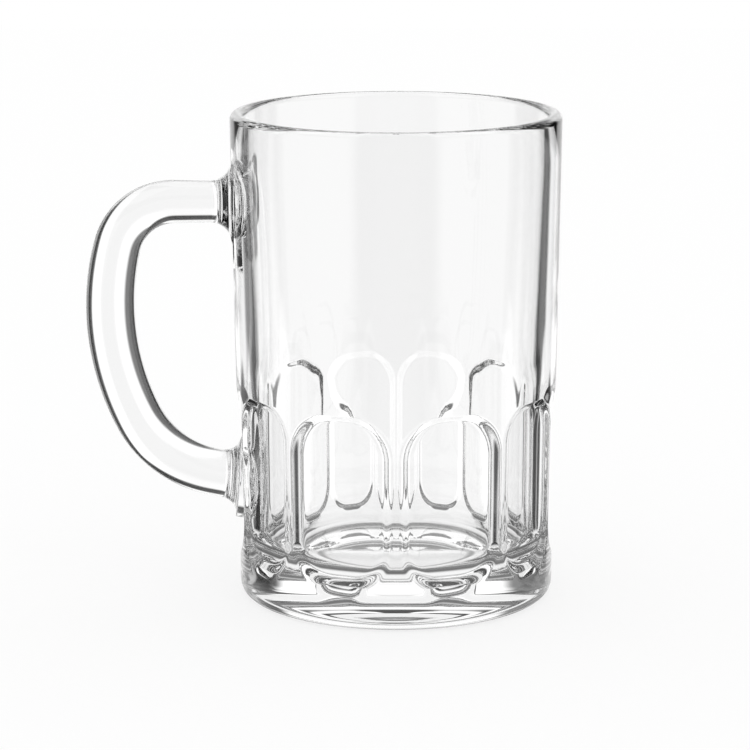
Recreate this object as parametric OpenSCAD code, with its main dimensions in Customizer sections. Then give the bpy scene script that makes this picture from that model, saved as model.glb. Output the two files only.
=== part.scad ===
// Glass beer mug with ten arched panels round its lower half and a looped glass handle.
// Millimetres, +Z up. The mug stands on Z = 0 with its axis on the Z axis, and the handle is on the -X side.
// A panel's edge, a rib, faces the front (-Y). The panels differ in width, alike on the -X and +X sides. Both pieces are glass, pressed apart and joined hot.

/* [Bowl] */
// Height from the table to the top of the lip
mug_height = 134; // [110:1:160]
// Radius of the outer wall at the lip
rim_radius = 45; // [40:0.5:52]
// Radius that the outer wall would have at the table
base_radius = 43.2; // [38:0.1:50]
// Wall thickness at the lip
rim_wall = 4; // [3.6:0.1:5]
// Wall thickness at the inner floor
low_wall = 6; // [5.5:0.1:7]
// Radius of the rounded heel under the wall
heel_radius = 4; // [2:0.5:6]
// Thickness of the solid base
floor_thickness = 13.5; // [10:0.5:18]
// Radius of the hollow's rounded bottom corner
floor_fillet = 15; // [6:0.5:17]

/* [Panels] */
// Turn from the front rib to the next one, on either side
front_side_rib = 40.2; // [38:0.1:42]
// Turn from the front rib to the one at the side's front
side_rib = 73; // [70:0.1:76]
// Turn from the front rib to the one at the side's back
back_side_rib = 112; // [109:0.1:115]
// Turn from the front rib to the one next to the back rib
back_rib = 147.5; // [145:0.1:150]
// Width of the front rib
front_rib_width = 5; // [4:0.1:6]
// Width of the other ribs
rib_width = 3; // [2:0.1:4]
// Height of the panels' lower ends
panel_bottom = 13.5; // [12:0.5:18]
// Height of the arches' tops
panel_top = 59; // [50:0.5:66]
// How much deeper than a flat facet each panel is cut
panel_extra_depth = 0.6; // [0.2:0.05:1]
// Corner radius of the arch at the top
arch_radius = 9; // [6:0.5:10]
// Corner radius at the bottom of a panel
panel_foot_radius = 7; // [4:0.5:9]
// Radius of the curve by which a panel's face runs out into the wall
runout_radius = 5; // [4:0.5:9]

/* [Handle] */
// Radius of the round glass bar
bar_radius = 6.5; // [5:0.1:8]
// Height of the bar's straight upper end
top_end_z = 109.2; // [100:0.1:118]
// Distance from the mug's axis to where the upper bend starts
top_end_x = 60.7; // [56:0.1:66]
// Centreline radius of the upper bend
top_bend_radius = 16.1; // [12:0.1:20]
// Turn of the upper bend
top_bend_turn = 75.5; // [70:0.1:80]
// Centreline radius of the long, slightly bowed grip
grip_radius = 69; // [60:0.5:80]
// Turn of the grip
grip_turn = 40.5; // [36:0.1:44]
// Centreline radius of the lower bend
low_bend_radius = 29.6; // [24:0.1:34]
// Turn of the lower bend
low_bend_turn = 52.9; // [46:0.1:58]

/* [Handle feet] */
// Radius of the upper foot where it meets the wall
top_foot_radius = 11.6; // [9:0.1:14]
// Radius of the lower foot where it meets the wall
low_foot_radius = 11; // [9:0.1:14]
// Height of the lower foot's centre
low_foot_z = 32.8; // [28:0.1:38]

/* [Hidden] */
glass = [0.9, 0.94, 0.94, 0.4];
$fn = 128;
wall_lean = atan((rim_radius - base_radius) / mug_height);
lip_radius = rim_wall / 2;
lip_z = mug_height - lip_radius;
panel_mid = (panel_bottom + panel_top) / 2;
rib_turns = [0, front_side_rib, side_rib, back_side_rib, back_rib, 180];
// The run-outs leave the wall this far inside the panel's outline
runout_inset = 0.6;
length_step = 0.01;
// A cutter reaches this far past the wall
past = 20;
// The balls that join the bends into one bar stand this much proud of it
joint_swell = 0.05;
// The feet start this deep under the wall, so that the panels' hollows are filled behind them
foot_root_depth = 6;
foot_root_x = base_radius - foot_root_depth;
// The flares start this deep under the wall, so that their edges meet its round surface
foot_seat_depth = 1.2;
foot_seat_x = base_radius - foot_seat_depth;
// The bend centres in the XZ plane, each tangent to the one before
top_bend_centre = [-top_end_x, top_end_z - top_bend_radius];
grip_start = 90 + top_bend_turn;
grip_centre = top_bend_centre + (top_bend_radius - grip_radius) * heading(grip_start);
low_bend_start = grip_start + grip_turn;
low_bend_centre = grip_centre + (grip_radius - low_bend_radius) * heading(low_bend_start);
low_bend_end = low_bend_start + low_bend_turn;
low_end = low_bend_centre + low_bend_radius * heading(low_bend_end);
// Where one stretch of the bar ends and the next starts
bar_joints = [[-top_end_x, top_end_z],
              top_bend_centre + top_bend_radius * heading(grip_start),
              grip_centre + grip_radius * heading(low_bend_start),
              low_end];

function outer_radius(z) = base_radius + (rim_radius - base_radius) * z / mug_height;
function inner_radius(z) = outer_radius(z) - low_wall + (low_wall - rim_wall) * z / lip_z;
function heading(angle) = [cos(angle), sin(angle)];
// A length in whole steps, so that edges that touch do so exactly
function whole(length) = round(length / length_step) * length_step;
// Each panel lies between the rib of its own number and the next one
function rib_half_turn(i) = asin((i == 0 ? front_rib_width : rib_width) / 2 / outer_radius(panel_mid));
function panel_start(i) = rib_turns[i] + rib_half_turn(i);
function panel_end(i) = rib_turns[i + 1] - rib_half_turn(i + 1);
function panel_half_turn(i) = (panel_end(i) - panel_start(i)) / 2;
function panel_half_width(i) = whole(outer_radius(panel_mid) * sin(panel_half_turn(i)));
function panel_plane(i) = whole(outer_radius(panel_mid) * cos(panel_half_turn(i))) - panel_extra_depth;
// How far the run-out curve reaches along the wall before it leaves it
function runout_reach(depth) = sqrt(pow(runout_radius, 2) - pow(runout_radius - depth, 2));

// Half of the upright section that the tumbler's outside turns through
module outer_section() {
    heel_x = outer_radius(heel_radius) - heel_radius;
    polygon([[0, 0], [heel_x, 0], [heel_x, heel_radius], [outer_radius(heel_radius), heel_radius],
             [outer_radius(lip_z), lip_z], [0, lip_z]]);
    intersection() {
        translate([heel_x, heel_radius]) circle(heel_radius);
        translate([heel_x, 0]) square(heel_radius);
    }
}

module lip_section() {
    intersection() {
        translate([outer_radius(lip_z) - lip_radius, lip_z]) circle(lip_radius);
        translate([0, lip_z]) square([rim_radius, lip_radius]);
    }
}

// Half of the hollow's section, up to past the lip
module inner_section() {
    corner_z = floor_thickness + floor_fillet;
    corner_x = inner_radius(corner_z) - floor_fillet;
    top_z = mug_height + past;
    lip_x = inner_radius(lip_z);
    polygon([[0, floor_thickness], [corner_x, floor_thickness], [corner_x, corner_z],
             [inner_radius(corner_z), corner_z], [lip_x, lip_z], [lip_x, top_z], [0, top_z]]);
    intersection() {
        translate([corner_x, corner_z]) circle(floor_fillet);
        translate([corner_x, floor_thickness]) square(floor_fillet);
    }
}

// The arched outline of one panel, seen square on: X is across, Y is up
module panel_outline(w) {
    arch = arch_radius;
    foot = panel_foot_radius;
    for (side = [-1, 1]) {
        translate([side * (w - arch), panel_top - arch]) circle(arch);
        translate([side * (w - foot), panel_bottom + foot]) circle(foot);
    }
    translate([-w, panel_bottom + foot]) square([2 * w, panel_top - panel_bottom - arch - foot]);
    translate([arch - w, panel_bottom + foot]) square([2 * (w - arch), panel_top - panel_bottom - foot]);
    translate([foot - w, panel_bottom]) square([2 * (w - foot), panel_top - panel_bottom - arch]);
}

// What one panel takes away, seen from the side: X is outwards, Y is along the wall from the panel's middle
module panel_side(depth) {
    straight = whole((panel_top - panel_bottom) / 2 - runout_reach(depth) - runout_inset);
    for (end = [-1, 1]) translate([runout_radius, end * straight]) circle(runout_radius);
    translate([0, -straight]) square([past, 2 * straight]);
}

module panel_cutter(i) {
    intersection() {
        rotate([90, 0, 90]) linear_extrude(2 * base_radius) panel_outline(panel_half_width(i));
        translate([panel_plane(i), 0, panel_mid]) rotate([0, wall_lean, 0])
            rotate([90, 0, 0]) linear_extrude(2 * base_radius, center = true)
                panel_side(outer_radius(panel_mid) - panel_plane(i));
    }
}

module panel_cutters() {
    for (side = [-1, 1], i = [0 : len(rib_turns) - 2])
        rotate([0, 0, side * (panel_start(i) + panel_half_turn(i)) - 90]) panel_cutter(i);
}

// The tumbler's outside with its panels, before it is hollowed
module panelled_blank() {
    difference() {
        rotate_extrude() outer_section();
        panel_cutters();
    }
}

module tumbler() {
    color(glass) difference() {
        rotate_extrude() {
            difference() {
                outer_section();
                inner_section();
            }
            lip_section();
        }
        panel_cutters();
    }
}

// A round bar bent about a centre in the XZ plane, from one polar angle through a turn
module bend(centre, radius, start, turn) {
    translate([centre[0], 0, centre[1]]) rotate([90, 0, 0]) rotate([0, 0, start])
        rotate_extrude(angle = turn) translate([radius, 0]) circle(bar_radius);
}

// A trumpet-shaped foot along -X: straight inside the wall, then flaring down to the bar
module foot(z, radius) {
    flare = radius - bar_radius + 2 * joint_swell;
    translate([0, 0, z]) rotate([0, -90, 0]) {
        translate([0, 0, foot_root_x]) cylinder(r = radius, h = foot_seat_x - foot_root_x);
        translate([0, 0, foot_seat_x]) rotate_extrude() difference() {
            square([radius, flare]);
            translate([radius, flare]) circle(flare);
        }
    }
}

module handle() {
    color(glass) difference() {
        union() {
            translate([-top_end_x, 0, top_end_z]) rotate([0, 90, 0])
                cylinder(r = bar_radius, h = top_end_x - foot_root_x);
            bend(top_bend_centre, top_bend_radius, 90, top_bend_turn);
            bend(grip_centre, grip_radius, grip_start, grip_turn);
            bend(low_bend_centre, low_bend_radius, low_bend_start, low_bend_turn);
            translate([low_end[0], 0, low_end[1]]) rotate([0, -low_bend_end, 0])
                cylinder(r = bar_radius, h = (low_end[0] + foot_root_x) / sin(low_bend_end));
            for (p = bar_joints) translate([p[0], 0, p[1]]) sphere(bar_radius + joint_swell);
            foot(top_end_z, top_foot_radius);
            foot(low_foot_z, low_foot_radius);
        }
        panelled_blank();
    }
}

tumbler();
handle();
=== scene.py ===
"""Clear glass beer mug on a white table: the visible glass, its light and its camera.

Lengths are in millimetres and turned to metres by MM. The mug stands on Z = 0 with its axis on the Z axis and
its handle on the -X side. The camera looks along +Y.
"""
import math

import bmesh
import bpy
import numpy as np
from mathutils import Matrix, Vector


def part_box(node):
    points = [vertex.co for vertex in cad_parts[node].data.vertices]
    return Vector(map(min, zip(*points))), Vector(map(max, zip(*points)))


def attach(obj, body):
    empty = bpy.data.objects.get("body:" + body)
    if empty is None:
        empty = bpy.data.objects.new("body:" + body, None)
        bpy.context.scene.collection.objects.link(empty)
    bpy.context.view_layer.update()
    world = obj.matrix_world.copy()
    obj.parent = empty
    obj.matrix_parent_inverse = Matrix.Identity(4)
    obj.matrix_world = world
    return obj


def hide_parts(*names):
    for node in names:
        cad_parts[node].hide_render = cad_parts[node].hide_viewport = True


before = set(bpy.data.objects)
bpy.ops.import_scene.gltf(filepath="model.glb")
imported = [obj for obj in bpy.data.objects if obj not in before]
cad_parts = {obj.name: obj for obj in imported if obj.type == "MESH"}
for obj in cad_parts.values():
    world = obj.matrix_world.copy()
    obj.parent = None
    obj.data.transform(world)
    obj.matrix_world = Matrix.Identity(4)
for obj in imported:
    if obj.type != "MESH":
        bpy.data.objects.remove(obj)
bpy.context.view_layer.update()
MM = 0.001
MUG_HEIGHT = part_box("tumbler")[1][2] / MM

# Bowl: its outer radii at the lip and at the table, and the rounded heel under its wall
RIM_RADIUS = 45.0
BASE_RADIUS = 43.2
HEEL_RADIUS = 4.0
# Thickness of its wall at the rounded lip, at the panels' tops and at the inner floor
RIM_WALL = 4.0
WALL_AT_PANELS = 5.8
WALL_AT_FLOOR = 5.3
LIP_RADIUS = RIM_WALL / 2
LIP_Z = MUG_HEIGHT - LIP_RADIUS
# Height of the inner floor, and the radius of its corner
FLOOR_Z = 11.5
FLOOR_FILLET = 10.0
# The domed hollow under the base, which gets flatter in the middle as the power grows
PUNT_RADIUS = 34.5
PUNT_DEPTH = 3.5
PUNT_POWER = 2.4

# Panels scooped out of the wall's outside. The ribs between them are given by their turn from the front (-Y),
# to either side and in degrees, and by their width.
RIBS = (0.0, 40.2, 73.0, 112.0, 147.5, 180.0)
RIB_WIDTHS = (4.4, 3.2, 2.4, 2.4, 1.6, 1.2)
PANEL_BOTTOM = 12.6
PANEL_TOP = 58.2
# Corner radii at the top and at the bottom of a panel's outline, as shares of half its width
ARCH_SHARE = 0.85
FOOT_SHARE = 0.8
# The eased step along the outline: its depth, its width, and how far outside the outline it starts
EDGE_DEPTH = 1.2
EDGE_WIDTH = 3.3
EDGE_OUTSET = 1.5
# Curvature of a panel's face across its width, as one over a radius in mm
FACE_CURVATURE = 0.014

# The bowl's grid: columns in each panel, and how much they crowd towards the ribs, from 0 (not at all) to 1
PANEL_COLUMNS = 42
COLUMN_CROWDING = 0.5
AROUND = 2 * PANEL_COLUMNS * (len(RIBS) - 1)
# Its rings on each stretch of the section. Under the base they crowd towards the hollow's edge, by a power.
PUNT_RINGS = 28
PUNT_RING_POWER = 1.7
BASE_RINGS = 3
HEEL_RINGS = 13
LIP_RINGS = 17
INSIDE_RINGS = 11
FILLET_RINGS = 29
FLOOR_RINGS = 7
# Rings are close together from a little beyond a panel's end to about where its corners end
END_MARGIN = 0.5
FOOT_SPAN = 10
ARCH_SPAN = 13
# The outside from the heel up to the lip: the height at which each stretch ends, and its rings
OUTSIDE_STRETCHES = (
    (PANEL_BOTTOM - END_MARGIN, 3),
    (PANEL_BOTTOM + FOOT_SPAN, 29),
    (PANEL_TOP - ARCH_SPAN, 5),
    (PANEL_TOP + END_MARGIN, 37),
    (LIP_Z, 7),
)


def outer_radius(z):
    return BASE_RADIUS + (RIM_RADIUS - BASE_RADIUS) * z / MUG_HEIGHT


def wall(z):
    """Wall thickness: it grows from the lip down to the panels' tops, then shrinks a little to the floor."""
    upper = np.clip((MUG_HEIGHT - z) / (MUG_HEIGHT - PANEL_TOP), 0, 1)
    lower = np.clip((PANEL_TOP - z) / (PANEL_TOP - FLOOR_Z), 0, 1)
    return RIM_WALL + (WALL_AT_PANELS - RIM_WALL) * upper + (WALL_AT_FLOOR - WALL_AT_PANELS) * lower


def inner_radius(z):
    return outer_radius(z) - wall(z)


def eased(share):
    share = np.clip(share, 0, 1)
    return share * share * (3 - 2 * share)


def corner_inset(side, end, radius):
    """Distance inside an outline with a rounded corner, from the distances inside its side and its end."""
    rounded = radius - np.hypot(radius - side, radius - end)
    return np.where((side < radius) & (end < radius), rounded, np.minimum(side, end))


def scoop(azimuth, z, radius):
    """Depth of the scoop at a point of the outside: an eased step at the outline, then a shallow bow."""
    turn = np.degrees(np.abs(np.mod(azimuth + math.pi, 2 * math.pi) - math.pi))
    side = np.zeros_like(radius)
    half = np.zeros_like(radius)
    for low, high, low_rib, high_rib in zip(RIBS, RIBS[1:], RIB_WIDTHS, RIB_WIDTHS[1:]):
        here = (turn >= low) & (turn <= high)
        from_low = np.radians(turn - low) * radius - low_rib / 2
        from_high = np.radians(high - turn) * radius - high_rib / 2
        side = np.where(here, np.minimum(from_low, from_high), side)
        half = np.where(here, (from_low + from_high) / 2, half)
    arch = corner_inset(side, PANEL_TOP - z, ARCH_SHARE * half)
    foot = corner_inset(side, z - PANEL_BOTTOM, FOOT_SHARE * half)
    bow = FACE_CURVATURE / 2 * np.maximum(half ** 2 - (half - side) ** 2, 0)
    return eased((np.minimum(arch, foot) + EDGE_OUTSET) / EDGE_WIDTH) * (EDGE_DEPTH + bow)


def steps(start, end, count):
    """Evenly spaced values after the start, up to the end."""
    return np.linspace(start, end, count + 1)[1:]


def points_at(r, z):
    return np.stack(np.broadcast_arrays(r, z), 1)


def arc(centre_r, centre_z, radius, start, end, count):
    """Points of an arc after its start. Its angles are in degrees, from 0 outwards to 90 upwards."""
    turn = np.radians(steps(start, end, count))
    return points_at(centre_r + radius * np.cos(turn), centre_z + radius * np.sin(turn))


def bowl_section():
    """The half section's (r, z) points, from the underside's middle round the lip to the inner floor's middle.

    The second result marks the points on the outside, where the panels are.
    """
    punt_r = PUNT_RADIUS * (1 - np.linspace(1, 0, PUNT_RINGS) ** PUNT_RING_POWER)
    punt_z = PUNT_DEPTH * (1 - (punt_r / PUNT_RADIUS) ** PUNT_POWER)
    heel_r = outer_radius(HEEL_RADIUS) - HEEL_RADIUS
    base = np.concatenate([
        points_at(punt_r, punt_z),
        points_at(steps(PUNT_RADIUS, heel_r, BASE_RINGS), 0),
        arc(heel_r, HEEL_RADIUS, HEEL_RADIUS, -90, 0, HEEL_RINGS),
    ])
    starts = [HEEL_RADIUS] + [end for end, _ in OUTSIDE_STRETCHES]
    stretches = [steps(start, end, count) for start, (end, count) in zip(starts, OUTSIDE_STRETCHES)]
    outside_z = np.concatenate(stretches)
    outside = points_at(outer_radius(outside_z), outside_z)
    corner_z = FLOOR_Z + FLOOR_FILLET
    corner_r = inner_radius(corner_z) - FLOOR_FILLET
    inside_z = steps(LIP_Z, corner_z, INSIDE_RINGS)
    inside = np.concatenate([
        arc(outer_radius(LIP_Z) - LIP_RADIUS, LIP_Z, LIP_RADIUS, 0, 180, LIP_RINGS),
        points_at(inner_radius(inside_z), inside_z),
        arc(corner_r, corner_z, FLOOR_FILLET, 0, -90, FILLET_RINGS),
        points_at(steps(corner_r, 0, FLOOR_RINGS), FLOOR_Z),
    ])
    panelled = np.repeat([False, True, False], [len(base), len(outside), len(inside)])
    return np.concatenate([base, outside, inside]), panelled


def columns():
    """Azimuths of the grid's columns, from the front: close together at the ribs, wider apart between."""
    turns = []
    for low, high in zip(RIBS, RIBS[1:]):
        share = np.linspace(0, 1, PANEL_COLUMNS, endpoint=False)
        crowded = share - COLUMN_CROWDING * np.sin(2 * math.pi * share) / (2 * math.pi)
        turns.extend(low + (high - low) * crowded)
    mirrored = [360 - turn for turn in turns[:0:-1]]
    return np.radians(turns + [RIBS[-1]] + mirrored)


def bands(first, rings, around):
    """Faces between rings that follow each other, from the number of the first ring's first point."""
    faces = []
    for here in range(first, first + (rings - 1) * around, around):
        there = here + around
        for j in range(around):
            k = (j + 1) % around
            faces.append((here + j, here + k, there + k, there + j))
    return faces


def bowl_mesh():
    section, panelled = bowl_section()
    azimuth = np.tile(columns(), (len(section), 1))
    r = np.repeat(section[:, :1], AROUND, 1)
    z = np.repeat(section[:, 1:], AROUND, 1)
    r[panelled] -= scoop(azimuth[panelled], z[panelled], r[panelled])
    points = np.stack([r * np.sin(azimuth), -r * np.cos(azimuth), z], 2) * MM
    rings = points[1:-1]
    verts = [tuple(p) for p in np.concatenate([points[0, :1], rings.reshape(-1, 3), points[-1, :1]])]
    last = len(verts) - 1
    inner = last - AROUND
    under_fan = [(0, 1 + (j + 1) % AROUND, 1 + j) for j in range(AROUND)]
    floor_fan = [(inner + j, inner + (j + 1) % AROUND, last) for j in range(AROUND)]
    return verts, under_fan + bands(1, len(rings), AROUND) + floor_fan


# Handle: a round bar whose centre line lies in the XZ plane. It runs level from the wall to the end of its
# straight top, through three tangent bends, given by radius and turn in degrees, and straight back to the wall.
TOP_END_X = -60.4
TOP_END_Z = 109.2
BENDS = ((16.1, 75.5), (69.0, 40.5), (29.6, 52.9))
# The bar's radius at its upper foot, in the middle and at its lower foot
BAR_RADII = (5.65, 6.75, 6.5)
# The feet's radii where they meet the wall, and the height of the lower one's middle
TOP_FOOT_RADIUS = 11.6
LOW_FOOT_RADIUS = 11.0
LOW_FOOT_Z = 32.8
# How deep each end starts under the wall's round surface: the lower one lies behind a panel's hollow
TOP_ROOT_DEPTH = 2.0
LOW_ROOT_DEPTH = 4.5
# Its grid: rings in each straight end, rings for each mm of a bend, and points in each ring
STRAIGHT_RINGS = 40
BEND_RINGS_PER_MM = 1
BAR_AROUND = 64


def handle_path():
    """Points of the centre line from inside the upper wall to inside the lower wall."""
    root_x = -(outer_radius(TOP_END_Z) - TOP_ROOT_DEPTH)
    points = [(x, TOP_END_Z) for x in np.linspace(root_x, TOP_END_X, STRAIGHT_RINGS)]
    x, z = points[-1]
    heading = math.pi
    for radius, turn in BENDS:
        count = int(radius * math.radians(turn) * BEND_RINGS_PER_MM)
        step = math.radians(turn) / count
        chord = 2 * radius * math.sin(step / 2)
        for _ in range(count):
            x += chord * math.cos(heading + step / 2)
            z += chord * math.sin(heading + step / 2)
            heading += step
            points.append((x, z))
    end_x = -(outer_radius(LOW_FOOT_Z) - LOW_ROOT_DEPTH)
    length = (end_x - x) / math.cos(heading)
    for share in np.linspace(0, 1, STRAIGHT_RINGS)[1:]:
        points.append((x + share * length * math.cos(heading), z + share * length * math.sin(heading)))
    return points


def bar_radius(share):
    """Radius of the plain bar at a share of its length: thinnest at the upper foot, fullest in the middle."""
    top, middle, low = BAR_RADII
    start, end, part = (top, middle, 2 * share) if share < 0.5 else (middle, low, 2 * share - 1)
    return start + (end - start) * (0.5 - 0.5 * math.cos(math.pi * part))


def flare(distance, bar, foot):
    """Radius at a distance from the wall: a quarter-round fillet between the bar and the foot."""
    fillet = foot - bar
    if distance >= fillet:
        return bar
    gap = fillet - max(distance, 0)
    return foot - math.sqrt(fillet ** 2 - gap ** 2)


def surface_point(centre, aim, bar):
    """A point of the handle's surface, in one direction from its centre line: the bar's or a foot's."""
    point = centre + aim * bar
    away = math.hypot(point.x, point.y) - outer_radius(point.z)
    foot = TOP_FOOT_RADIUS if centre.z > MUG_HEIGHT / 2 else LOW_FOOT_RADIUS
    return centre + aim * flare(away, bar, foot)


def handle_mesh():
    path = handle_path()
    runs = [0.0]
    for start, end in zip(path, path[1:]):
        runs.append(runs[-1] + math.dist(start, end))
    side = Vector((0, 1, 0))
    verts = []
    for i, (x, z) in enumerate(path):
        before = path[max(i - 1, 0)]
        after = path[min(i + 1, len(path) - 1)]
        along = Vector((after[0] - before[0], 0, after[1] - before[1])).normalized()
        out = along.cross(side)
        bar = bar_radius(runs[i] / runs[-1])
        for j in range(BAR_AROUND):
            turn = 2 * math.pi * j / BAR_AROUND
            aim = side * math.cos(turn) + out * math.sin(turn)
            verts.append(tuple(surface_point(Vector((x, 0, z)), aim, bar) * MM))
    first_end = tuple(range(BAR_AROUND))[::-1]
    last_end = tuple(range(len(verts) - BAR_AROUND, len(verts)))
    return verts, bands(0, len(path), BAR_AROUND) + [first_end, last_end]


def add_object(name, mesh):
    mesh.polygons.foreach_set("use_smooth", [True] * len(mesh.polygons))
    piece = bpy.data.objects.new(name, mesh)
    bpy.context.scene.collection.objects.link(piece)
    return piece


def make_object(name, verts, faces, material):
    mesh = bpy.data.meshes.new(name)
    mesh.from_pydata(verts, [], faces)
    work = bmesh.new()
    work.from_mesh(mesh)
    bmesh.ops.recalc_face_normals(work, faces=work.faces)
    work.to_mesh(mesh)
    work.free()
    mesh.materials.append(material)
    return add_object(name, mesh)


def fused(name, bowl, loop):
    """One closed glass body from the bowl and the handle, with no wall left inside the joints."""
    join = bowl.modifiers.new("join", "BOOLEAN")
    join.operation = "UNION"
    join.solver = "EXACT"
    join.object = loop
    mesh = bpy.data.meshes.new_from_object(bowl.evaluated_get(bpy.context.evaluated_depsgraph_get()))
    mesh.name = name
    for piece in (bowl, loop):
        bpy.data.objects.remove(piece)
    return add_object(name, mesh)


WHITE = (1, 1, 1, 1)


def grey(level):
    return (level, level, level, 1)


def feed(tree, node, inputs):
    """Set a node's inputs, by name or number, to plain values, or link them to other nodes' outputs."""
    for key, value in inputs.items():
        if isinstance(value, bpy.types.NodeSocket):
            tree.links.new(value, node.inputs[key])
        else:
            node.inputs[key].default_value = value


def add_node(tree, kind, inputs=None, **settings):
    node = tree.nodes.new(kind)
    for name, value in settings.items():
        setattr(node, name, value)
    feed(tree, node, inputs or {})
    return node


def math_node(tree, operation, *values):
    return add_node(tree, "ShaderNodeMath", dict(enumerate(values)), operation=operation).outputs[0]


def map_range(tree, value, start, end, low, high):
    """A smooth change from low to high as the value goes from start to end."""
    inputs = {"Value": value, "From Min": start, "From Max": end, "To Min": low, "To Max": high}
    return add_node(tree, "ShaderNodeMapRange", inputs, interpolation_type="SMOOTHSTEP").outputs[0]


def scaled(tree, colour, factor):
    inputs = {0: colour, "Scale": factor}
    return add_node(tree, "ShaderNodeVectorMath", inputs, operation="SCALE").outputs[0]


def ramp_light(tree, share, stops):
    """Brightness by (place, level) stops, as the share goes from 0 at the first place to 1 at the last."""
    node = add_node(tree, "ShaderNodeValToRGB", {0: share})
    ramp = node.color_ramp
    ramp.interpolation = "EASE"
    while len(ramp.elements) > 1:
        ramp.elements.remove(ramp.elements[0])
    start, end = stops[0][0], stops[-1][0]
    for k, (place, level) in enumerate(stops):
        position = (place - start) / (end - start)
        element = ramp.elements[0] if k == 0 else ramp.elements.new(position)
        element.position = position
        element.color = grey(level)
    return node.outputs[0]


GLASS_IOR = 1.5
# The faint waviness of pressed glass: waves per metre, their detail, and their bump's strength and height
WAVE_SCALE = 45
WAVE_DETAIL = 1
WAVE_STRENGTH = 1
WAVE_HEIGHT = 0.04


def glass_material(name):
    """Clear glass whose surface is very slightly wavy."""
    material = bpy.data.materials.new(name)
    material.use_nodes = True
    tree = material.node_tree
    place = add_node(tree, "ShaderNodeTexCoord")
    waves = add_node(tree, "ShaderNodeTexNoise", {
        "Vector": place.outputs["Object"],
        "Scale": WAVE_SCALE,
        "Detail": WAVE_DETAIL,
    })
    bump = add_node(tree, "ShaderNodeBump", {
        "Height": waves.outputs["Fac"],
        "Strength": WAVE_STRENGTH,
        "Distance": WAVE_HEIGHT * MM,
    })
    feed(tree, tree.nodes["Principled BSDF"], {
        "Base Color": WHITE,
        "Transmission Weight": 1,
        "Roughness": 0,
        "IOR": GLASS_IOR,
        "Normal": bump.outputs["Normal"],
    })
    return material


# The surroundings that the glass shows, as (azimuth, brightness) stops. The azimuth is in degrees from +Y,
# which is behind the mug, towards +X on the right and -X on the left. The dark stops draw the glass's edges.
RIGHT = ((9, 0.96), (14, 1.1), (30, 1.1), (36, 0.03), (48, 0.03), (52, 0.4), (57, 0.4), (61, 0.03),
         (70, 0.03), (75, 0.9), (145, 0.9), (151, 0.4), (180, 0.4))
LEFT = ((9, 0.96), (14, 1.1), (27, 1.1), (34, 0.18), (50, 0.12), (57, 0.03),
        (70, 0.03), (75, 0.9), (145, 0.9), (151, 0.4), (180, 0.4))
# How the brightness changes with a direction's Z part: where a change starts and ends, and the factors before
# and after it. The larger of the last two counts, which leaves a dark band below the light overhead.
SKY = (0.0, 0.15, 1, 1.1)
CEILING = (0.3, 0.4, 1, 0.05)
OVERHEAD = (0.6, 0.7, 0, 1.0)


def studio_light(tree, direction):
    """What the glass shows of the surroundings in a direction."""
    x, y, height = add_node(tree, "ShaderNodeSeparateXYZ", {0: direction}).outputs
    azimuth = math_node(tree, "ARCTAN2", x, y)
    # From -180 degrees, at the share 0, to 180 degrees, at 1
    share = math_node(tree, "MULTIPLY_ADD", azimuth, 0.5 / math.pi, 0.5)
    mirrored = tuple((-turn, level) for turn, level in LEFT[::-1])
    light = ramp_light(tree, share, mirrored + RIGHT)
    lift, ceiling, overhead = (map_range(tree, height, *change) for change in (SKY, CEILING, OVERHEAD))
    return scaled(tree, scaled(tree, light, lift), math_node(tree, "MAXIMUM", ceiling, overhead))


def make_world():
    """Plain white for the camera and for the table's own light, and the studio's pattern for the glass."""
    world = bpy.data.worlds.new("studio")
    bpy.context.scene.world = world
    world.use_nodes = True
    world.cycles.sampling_method = "NONE"
    tree = world.node_tree
    tree.nodes.clear()
    light = studio_light(tree, add_node(tree, "ShaderNodeTexCoord").outputs["Generated"])
    path = add_node(tree, "ShaderNodeLightPath")
    plain = math_node(tree, "MAXIMUM", path.outputs["Is Camera Ray"], path.outputs["Is Diffuse Ray"])
    mix = add_node(tree, "ShaderNodeMix", {"Factor": plain, "A": light, "B": WHITE}, data_type="RGBA")
    background = add_node(tree, "ShaderNodeBackground", {"Color": mix.outputs["Result"]})
    add_node(tree, "ShaderNodeOutputWorld", {0: background.outputs[0]})


# The table that the camera sees: half its width, its matt grey, which takes the mug's shadow, and its even
# glow, which makes it white together with the grey
TABLE_HALF = 1500
TABLE_GREY = 0.2
TABLE_GLOW = 0.795
# The table that the glass shows is painted light. It is a glowing patch under the mug with darker rings of
# painted shadow, darkest round where the heel stands.
# Its (distance from the axis, brightness) stops, and between which distances it fades to clear
UNDER_PAINTED_LIGHT = ((0, 0.95), (22, 0.95), (25, 0.4), (28, 0.95), (33, 0.95), (37, 0.15), (41, 0.2), (44, 0.9),
         (60, 0.95))
FADE_START = 50
FADE_END = 75


def plain_table(tree):
    matt = add_node(tree, "ShaderNodeBsdfDiffuse", {"Color": grey(TABLE_GREY)})
    glow = add_node(tree, "ShaderNodeEmission", {"Strength": TABLE_GLOW})
    return add_node(tree, "ShaderNodeAddShader", {0: matt.outputs[0], 1: glow.outputs[0]}).outputs[0]


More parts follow.
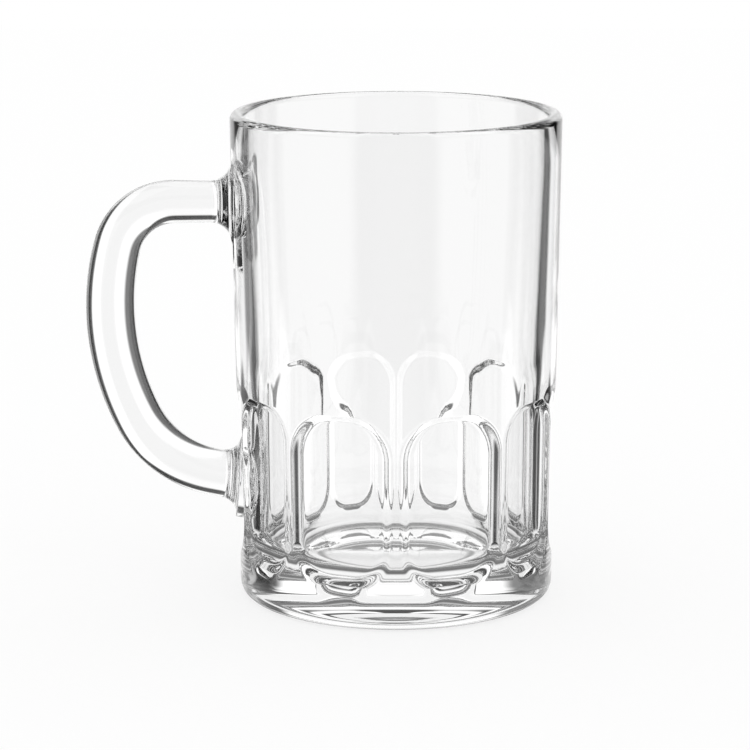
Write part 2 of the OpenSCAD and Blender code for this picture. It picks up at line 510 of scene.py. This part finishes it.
# Painted light and shadow: rays that have passed through the glass see the table near the mug glow by the
# stops, with dark rings of painted shadow, and clear further out
def painted_table_in_glass(tree):
    place = add_node(tree, "ShaderNodeNewGeometry").outputs["Position"]
    x, y, _ = add_node(tree, "ShaderNodeSeparateXYZ", {0: place}).outputs
    squares = (math_node(tree, "POWER", x, 2), math_node(tree, "POWER", y, 2))
    distance = math_node(tree, "SQRT", math_node(tree, "ADD", *squares))
    share = math_node(tree, "DIVIDE", distance, UNDER_PAINTED_LIGHT[-1][0] * MM)
    painted_patch = add_node(tree, "ShaderNodeEmission", {"Color": ramp_light(tree, share, UNDER_PAINTED_LIGHT)})
    clear = add_node(tree, "ShaderNodeBsdfTransparent")
    near = map_range(tree, distance, FADE_START * MM, FADE_END * MM, 1, 0)
    shaders = {0: near, 1: clear.outputs[0], 2: painted_patch.outputs[0]}
    return add_node(tree, "ShaderNodeMixShader", shaders).outputs[0]


def make_table():
    material = bpy.data.materials.new("table")
    material.use_nodes = True
    tree = material.node_tree
    tree.nodes.clear()
    to_camera = add_node(tree, "ShaderNodeLightPath").outputs["Is Camera Ray"]
    shaders = {0: to_camera, 1: painted_table_in_glass(tree), 2: plain_table(tree)}
    shown = add_node(tree, "ShaderNodeMixShader", shaders)
    add_node(tree, "ShaderNodeOutputMaterial", {0: shown.outputs[0]})
    half = TABLE_HALF * MM
    corners = [(-half, -half, 0), (half, -half, 0), (half, half, 0), (-half, half, 0)]
    floor = make_object("table", corners, [(0, 1, 2, 3)], material)


# Camera, fitted to the photograph's rim and base. In pixels of the square image: its focal length, and the
# distance of the mug's axis from the left.
IMAGE_SIZE = 750
FOCAL_PX = 3126.7
AXIS_PX = 396.05
# Its distance from the middle of the mug's axis, and in radians, its elevation there and its downward pitch
DISTANCE = 858.9
CAMERA_RISE = 0.2073
CAMERA_PITCH = 0.2142
SENSOR = 36.0
CLIP_START = 10


def make_camera():
    data = bpy.data.cameras.new("camera")
    camera = bpy.data.objects.new("camera", data)
    bpy.context.scene.collection.objects.link(camera)
    bpy.context.scene.camera = camera
    data.sensor_width = SENSOR
    data.lens = FOCAL_PX / IMAGE_SIZE * SENSOR
    data.clip_start = CLIP_START * MM
    data.shift_x = (IMAGE_SIZE / 2 - AXIS_PX) / IMAGE_SIZE
    camera.location = Vector((0, -DISTANCE * math.cos(CAMERA_RISE),
                              MUG_HEIGHT / 2 + DISTANCE * math.sin(CAMERA_RISE))) * MM
    aim = Vector((0, math.cos(CAMERA_PITCH), -math.sin(CAMERA_PITCH)))
    camera.rotation_mode = "QUATERNION"
    camera.rotation_quaternion = aim.to_track_quat("-Z", "Y")


# Light paths long enough to pass all the walls of the bowl and the handle
GLASS_BOUNCES = 32
GLOSSY_BOUNCES = 16


def main():
    make_camera()
    make_world()
    make_table()
    glass = glass_material("mug_glass")
    mug = fused("mug", make_object("bowl", *bowl_mesh(), glass), make_object("loop", *handle_mesh(), glass))
    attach(mug, "root")
    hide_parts("tumbler", "handle")
    scene = bpy.context.scene
    scene.view_settings.view_transform = "Standard"
    scene.cycles.max_bounces = GLASS_BOUNCES
    scene.cycles.transmission_bounces = GLASS_BOUNCES
    scene.cycles.glossy_bounces = GLOSSY_BOUNCES


main()
